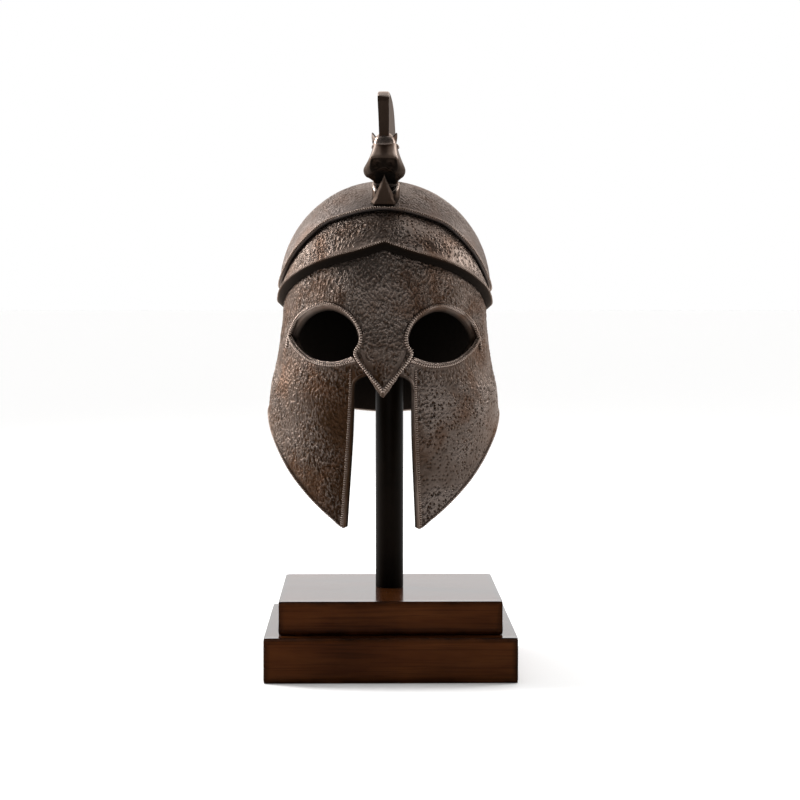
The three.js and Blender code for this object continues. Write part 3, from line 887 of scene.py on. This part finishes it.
band = brow_band()
beat(band, hammered_bronze, marks)
assemble(band, "hammered_bronze", "brow_band")
whole_round = np.concatenate((around, around[:1]))
fold_line = on_skull_at(whole_round, polar_of(lip_edge(np.abs(whole_round)) + lip_height), lip_out)
lay_rope("band_rope_rim", [fold_line], 0.9, 1.9, rim_bronze)


# ---------------- skull cap
# The crown is raised from one disc of bronze into a dome, planished finer than the rest. A thin rope wire is
# soldered round its rim, where it lies on the band.

def skull_cap():
    edge = polar_of(cap_edge(np.abs(around)))
    outer = [on_skull_at(around, edge * share, 0) for share in np.linspace(0.02, 0.95, 74)]
    rim = [on_skull_at(around, edge * share, out) for share, out in
           ((0.966, 0.1), (0.975, 0.3), (0.985, 0.45), (0.994, 0.35), (0.999, -0.1), (1.0, -0.8), (1.0, -2.4),
            (0.998, -3))]
    inner = [on_skull_at(around, edge * share, -cap_thickness) for share in np.linspace(0.97, 0.03, 14)]
    piece = make_piece("skull_cap", *skin(outer + rim + inner), bare, sharpest=50)
    rows = np.arange(len(outer) + len(rim) + len(inner))
    note_rings(piece, "beaten", 1 - ease(rows, len(outer) - 4, len(outer)))
    # Painted shade: the rim's cut edge and the inside of the cap are near black, as the shade in the gap
    # under the rim.
    note_rings(piece, "inside", rows > len(outer) + len(rim) - 3)
    note(piece, "punched", 0)
    return piece


cap = skull_cap()
fine_marks = {"Depth": 0.5 * mm, "Ridge size": 1.7 * mm, "Pit size": 4 * mm}
planished_bronze = bronze("planished_bronze", (0.140, 0.120, 0.112, 1), (0.040, 0.030, 0.025, 1), 0.36,
                          fine_marks)
beat(cap, planished_bronze, fine_marks)
assemble(cap, "hammered_bronze", "skull_cap")
cap_line = on_skull_at(whole_round, polar_of(cap_edge(np.abs(whole_round))) * 0.99, 0.6)
lay_rope("cap_rope_rim", [cap_line], 1.2, 2, rim_bronze)


# ---------------- crest
# The crest is a cast bronze blade, thickest along its top, that leans forward over the beast's head and runs
# down the back of the crown. It is filed smooth, its long edge is rounded, and it is pinned from inside.

crest_top, crest_foot, crest_shift, crest_turn, crest_front = 9.8, 7.2, -2.6, -2.4, -109
crown_gap = 0.6


def curved(points, steps):
    """Points along a Bezier curve with two, three or four controls."""
    controls = np.array(points, float)
    u = (np.arange(steps) / steps)[:, None]
    layer = [np.broadcast_to(control, (steps, 2)) for control in controls]
    while len(layer) > 1:
        layer = [a + (b - a) * u for a, b in zip(layer, layer[1:])]
    return layer[0]


def evenly(line, count):
    """The same line with a given number of points, evenly apart."""
    lengths = np.concatenate(([0], np.cumsum(np.linalg.norm(np.diff(line, axis=0), axis=1))))
    at = np.linspace(0, lengths[-1], count)
    return columns(*(np.interp(at, lengths, values) for values in line.T))


def turn_about(points, degrees, y):
    """Turns points about an upright line through x 0 and this y."""
    a = math.radians(degrees)
    x, back = points[..., 0], points[..., 1] - y
    return columns(x * math.cos(a) - back * math.sin(a), x * math.sin(a) + back * math.cos(a) + y,
                   points[..., 2])


def crest_blade():
    top = np.concatenate((
        curved([(-109, 505), (-107, 508.5), (-102, 508.5)], 12),
        curved([(-102, 508.5), (-76, 509.5), (-42, 507), (-18, 501.5)], 50),
        curved([(-18, 501.5), (25, 491), (75, 462), (104, 400)], 90),
        curved([(104, 400), (108, 388), (112, 366)], 20), [(112, 366)],
    ))
    crown_y = np.linspace(-59.9, 106.6, 120)
    level = np.sqrt(1 - (crown_y / (skull_length + crown_gap)) ** 2)
    crown_z = skull_centre + (skull_height + crown_gap) * level
    bottom = np.concatenate((
        curved([(-108.6, 500), (-94, 486), (-88, 467)], 20),
        [(-87, 466.8), (-74, 466.4), (-59.9, 461)], columns(crown_y, crown_z),
    ))
    top, bottom = evenly(top, 190), evenly(bottom, 190)
    flat_rows = 14
    bends = np.radians((25, 50, 72))
    rings = []
    for top_point, bottom_point in zip(top, bottom):
        height = np.linalg.norm(top_point - bottom_point)
        rounding = min(1.6, height / 3)
        rounded = rounding / height
        shares = [*np.linspace(0, 1 - rounded, flat_rows), *(1 - rounded * (1 - np.sin(bends)))]
        insets = [*np.zeros(flat_rows), *(rounding * (1 - np.cos(bends)))]
        side = []
        for share, inset in zip(shares, insets):
            y, z = bottom_point + (top_point - bottom_point) * share
            thickness = np.interp(z, (440, 505), (crest_foot, crest_top))
            side.append((thickness / 2 - inset, y, z))
        rings.append(np.array([*side, (0, *top_point), *((-x, y, z) for x, y, z in side[::-1])]))
    piece = make_piece("crest_blade", *skin(rings), bare, sharpest=38)
    points = places(piece)
    x, y, z = points.T
    lean = np.interp(z, (467, 486, 499), (-88, -96, -107.5))
    tip_height = 503.5
    front = (y < lean + 1.2) & (z < tip_height)
    tip = (y < -98) & (z > tip_height)
    # The tip, where the blade rounds over in front, is made lighter as a painted highlight; the rest of the
    # blade is darker and a little dimmed.
    note(piece, "wear_and_light", np.where(front, -0.8, np.where(tip, 0.3, -0.85)))
    note(piece, "inside", np.where(tip, 0, 0.4))
    note(piece, "beaten", 1)
    note(piece, "punched", 0)
    put(piece, turn_about(points, crest_turn, crest_front) + (crest_shift, 0, 0))
    return piece


filed_marks = {"Depth": 0.16 * mm, "Ridge size": 5 * mm, "Pit size": 4 * mm}
polished_bronze = bronze("polished_bronze", (0.40, 0.33, 0.29, 1), (0.036, 0.022, 0.015, 1), 0.25)
blade = crest_blade()
beat(blade, polished_bronze, filed_marks)
assemble(blade, "polished_bronze", "crest")


# ---------------- beast's head
# A small beast's head, cast in bronze, polished and pinned to the crown, looks forward from under the crest.
# Its jaws are open on a narrow throat, its snout is flat on top, its eyes are round, and its ears stand up
# beside the blade.

beast_shift, beast_turn, beast_middle = -0.7, -2, -90
poll_spot, poll_size = (-0.6, -84, 465.2), (9.6, 8, 9.8)
eye_spot, nostril_spot = np.array(((10.2, -84, 463), (6.3, -113.2, 446.6)))
nostril_size = (2.3, 4, 3.4)


def loft(sections, along, around_each):
    """Rings over a closed form through sections of its right half, each a y and its (half width, height)s."""
    lines = np.array([[(x, y, z) for x, z in half] for y, half in sections], float)
    sides = [flowing(lines[:, i], along) for i in range(lines.shape[1])]
    rings = []
    for row in zip(*sides):
        right = np.array(row)
        loop = np.concatenate((right, right[::-1] * (-1, 1, 1)))
        rings.append(flowing(loop, around_each, closed=True))
    return rings


def dented(points, spot, size, depth):
    """Pushes points back within an oval round a spot, or forward where the depth is negative."""
    away = np.linalg.norm((points - spot) / size, axis=1)
    return points + np.outer(depth * (1 - ease(away, 0.35, 1)), (0, 1, 0))


snout_edge = [(7.2, -78, 466.4), (8, -84, 466.2), (9, -95, 460.7), (10.3, -104, 455.8), (11.5, -110, 452.2)]
jaw_rim = [(10.6, -61, 433), (10, -64.5, 430.9), (8.8, -68, 428.3), (6.4, -71, 425.8), (3.2, -72.8, 423.8),
           (0, -73, 423.4)]


def beast_skull():
    """A flat top with crisp edges, cheeks that swell to the lips, and a hollow roof to the mouth."""
    sections = [
        (-60.3, [(4, 460), (5.2, 459.2), (8.6, 453), (10.5, 446), (9.5, 431), (8, 430.4), (3, 431)]),
        (-72, [(6, 465.6), (7.6, 464.4), (10.6, 457), (12.5, 447), (11.5, 434.5), (10, 433), (4, 437)]),
        (-84, [(7, 467), (8.9, 465.6), (12.4, 456), (16, 445), (15.2, 437.2), (13, 435), (6, 441)]),
        (-95, [(7.8, 461.5), (9.8, 460), (13.6, 451), (18, 442.3), (17, 437.4), (14.6, 435.6), (8, 442)]),
        (-104, [(9.2, 456.4), (10.6, 455.4), (14, 448), (17, 442), (15.8, 437.8), (13.2, 436.4), (8.4, 442)]),
        (-110, [(10.5, 452.9), (11.8, 451.7), (13.4, 446.6), (14.2, 442.6), (13, 438.8), (10.8, 437.9),
                (8, 442)]),
        (-112.8, [(9.9, 450.9), (10.9, 449.9), (11.6, 446), (11.8, 442.8), (10.8, 440), (9, 439.4),
                  (7, 442)]),
    ]
    rings = loft(sections, 8, 5)
    nose = rings[-1]
    tip = nose.mean(axis=0)
    for share, out in ((0.9, -0.5), (0.75, -0.7), (0.55, -0.75), (0.3, -0.75)):
        rings.append(tip + (nose - tip) * share + (0, out, 0))
    return make_piece("beast_skull", *skin(rings), bare, sharpest=48)


def beast_jaw():
    """A narrow scoop, open on top, with a flat rim."""
    sections = [
        (-61, [(5, 426), (9, 432.8), (12, 432.4), (12, 424), (10.4, 410), (4, 406)]),
        (-64.5, [(5, 425), (8.6, 430.8), (11.4, 430.6), (11.5, 423), (10.2, 410), (4, 406)]),
        (-68, [(4.4, 423.2), (7.4, 428.2), (10.2, 428.2), (10.6, 421.6), (9.4, 409), (3.4, 405)]),
        (-71, [(2.6, 421.6), (4.8, 425.4), (8, 425.7), (8.6, 420.6), (7.8, 408), (2.4, 404)]),
        (-72.8, [(0.8, 422.6), (1.6, 423.2), (5, 423.7), (5.4, 419.6), (4.6, 408), (1.2, 404)]),
    ]
    return make_piece("beast_jaw", *skin(loft(sections, 6, 4)), bare, sharpest=50)


def beast_throat():
    half = [(4, 446), (9.4, 445), (10.6, 436), (10.6, 416), (9, 406), (3, 405)]
    sections = [(y, half) for y in (-60.3, -63, -65.5)]
    return make_piece("beast_throat", *skin(loft(sections, 3, 3)), bare)


def beast_poll():
    """The rounded crown of its head, which runs up against the blade's foot."""
    points, faces = turned([(math.sin(a), math.cos(a)) for a in np.linspace(0, math.pi, 17)], 32)
    return make_piece("beast_poll", points * poll_size + poll_spot, faces, bare, weld=True)


def beast_ear(side):
    """A narrow leaf-shaped ear, hollowed in front, its tip leaning outward."""
    length, half_width, half_depth = 14.5, 3.6, 1.9
    a = np.arange(16) * math.pi / 8
    rings = []
    for share in np.linspace(0, 0.985, 14):
        depth = half_depth * (1 - share) ** 0.5 + 0.15
        x = half_width * math.sin(math.pi * (0.3 + 0.7 * share)) ** 0.7 * np.cos(a)
        y = depth * np.sin(a)
        hollow = depth * math.sin(math.pi * share) * (1 - np.abs(np.cos(a)))
        rings.append(columns(x, np.where(y < 0, y + hollow, y), length * share - 5))
    points, faces = skin(rings)
    lean = Matrix.Rotation(side * math.radians(19), 3, "Y") @ Matrix.Rotation(side * math.radians(45), 3, "Z")
    return make_piece("ear", points @ np.array(lean).T + (side * 7.6 - 1, -82, 466), faces, bare)


def beast_eye(side):
    """A round eye in a raised ring."""
    profile = [(0, 1.5), (0.7, 1.2), (1.15, 0.6), (1.35, 0.3), (1.7, 0.8), (2.1, 0.9), (2.5, 0.6), (2.7, -2),
               (0, -2)]
    points, faces = turned(profile, 20)
    aim = Vector((side * 0.9, -0.3, 0.5)).to_track_quat("Z", "Y").to_matrix()
    points = points @ np.array(aim).T + eye_spot * (side, 1, 1)
    return make_piece("eye", points, faces, bare, weld=True)


beast = beast_skull()
joined_on = [beast_throat(), beast_poll(), beast_jaw()]
for part in joined_on + [beast_ear(1), beast_ear(-1), beast_eye(1), beast_eye(-1)]:
    cut_or_join(beast, part, "UNION")
points = places(beast)
# Two nostrils, each with a low brow over it.
for side in (1, -1):
    points = dented(points, nostril_spot * (side, 1, 1), nostril_size, 1.8)
    points = dented(points, (nostril_spot + (0, 0, 3.6)) * (side, 1, 1), (3.4, 3, 1.6), -0.5)
both_sides = [flowing(line * np.array((side, 1, 1)), 12) for line in (snout_edge, jaw_rim)
              for side in (1, -1)]
# Painted highlights run along the snout's edges and the jaw's rims.
edge_highlight = 1 - ease(nearness(points, both_sides), 0.5, 1.9)
x, y, z = points.T
across = np.abs(x)
# Painted shade: the roof and scoop of the open mouth, the front of the nose, the underside of the jaw and the
# lower cheeks are made dark, the nostril rims less, as painted highlights.
roof = ease(z, 430.5, 431.5) * (1 - ease(z, 441.2, 442.4))
scoop = (1 - ease(z, 431.8, 433)) * ease(z, 421, 423)
jaw_highlight = (1 - ease(nearness(points, both_sides[2:]), 1.8, 3.4)) * (1 - 0.5 * ease(x, 0, 4))
under_jaw = 1 - ease(z, 418, 424)
mouth = np.maximum(roof, scoop) * (1 - ease(across, 8.5, 10.2))
nose = ease(-y, 110.5, 113) * (1 - ease(z, 449, 452))
nostril = np.linalg.norm((np.abs(points) - np.abs(nostril_spot)) / nostril_size, axis=1)
nostril_rim = ease(nostril, 0.6, 0.95) * (1 - ease(nostril, 1.05, 1.5))
ears = ease(z, 466.5, 468) * ease(across, 6.5, 7.5)
eyes = 1 - ease(np.linalg.norm(np.abs(points) - np.abs(eye_spot), axis=1), 2, 3.4)
from_poll = np.linalg.norm((points - poll_spot) / poll_size, axis=1)
poll = (1 - ease(from_poll, 1.02, 1.08)) * (1 - ears)
chops = (1 - ease(z, 444, 457)) * ease(-y, 88, 100)
dark = np.maximum(0.85 * nose * (1 - 0.4 * nostril_rim), np.maximum(0.85 * under_jaw, 0.6 * chops))
# Painted highlights: the snout's edges and jaw rims, the ears, the left ear more as if lit from the left, the
# eye rings and the poll.
painted_highlights = np.maximum(edge_highlight, jaw_highlight) * 1.2 + (0.2 + 0.5 * (x < 0)) * ears + 0.4 * eyes + 0.75 * poll
note(beast, "inside", np.maximum(mouth * (1 - edge_highlight), dark))
note(beast, "wear_and_light", painted_highlights - 0.6)
put(beast, turn_about(points, beast_turn, beast_middle) + (beast_shift, 0, 0))
beast.name = "beast_head_casting"
smooth(beast, 48)
beast.data.materials.clear()
beast.data.materials.append(polished_bronze)
seat(beast)
assemble(beast, "polished_bronze", "beast_head")


# ---------------- crest spike
# A four-sided bronze spike stands in front of the open jaws on a flared foot, pinned through the crown. It is
# filed to flat faces, with narrow bevels along its edges, and a painted highlight along its front edges.

spike_shift, spike_foot, spike_apex, spike_front_half = -1.1, 408, 438.4, 9


def crest_spike():
    apex_y = -83.3
    rings = []
    for share in (0, 0.1, 0.2, 0.26, 0.3, 0.34, 0.4, 0.5, 0.6, 0.7, 0.8, 0.88, 0.94, 0.98, 0.998):
        z = spike_foot + (spike_apex - spike_foot) * share
        left = 1 - share
        flare = 1.1 * (1 - ease(share, 0.22, 0.36))
        narrow, wide = spike_front_half * left + flare, 14.4 * left + flare
        front, back = apex_y + 11.5 * left - flare * 0.6, apex_y + 20 * left
        bevel = min(0.7, narrow * 0.3)
        face = narrow - bevel
        right = [(face * 0.75, front, z), (face, front, z), (narrow + bevel * 0.4, front + bevel, z),
                 (wide, back, z)]
        left_side = [(-x, y, z) for x, y, z in right[::-1]]
        rings.append(np.array([(0, front, z), *right, *left_side]) + (spike_shift, 0, 0))
    return make_piece("crest_spike_casting", *skin(rings), polished_bronze, sharpest=20)


def crown_form():
    """The outside of the crown and the gap over it, as the tool that fits the spike's foot to it."""
    turns = np.linspace(-180, 180, 90, endpoint=False)
    rings = [on_skull_at(turns, polar, crown_gap) for polar in np.linspace(0.02, 3.12, 60)]
    return make_piece("crown_form", *skin(rings), bare)


spike = crest_spike()
cut_or_join(spike, crown_form(), "DIFFERENCE")
x, y, z = places(spike).T
left = (spike_apex - z) / (spike_apex - spike_foot)
off_edge = np.abs(np.abs(x - spike_shift) - spike_front_half * left)
# The spike is dimmed a little all over, and painted highlights run along its front edges above the foot.
note(spike, "inside", 0.35)
note(spike, "wear_and_light", np.where(z < 417, -0.8, -0.45 - 0.45 * ease(off_edge, 0.8, 1.3)))
seat(spike)
assemble(spike, "polished_bronze", "crest_spike")
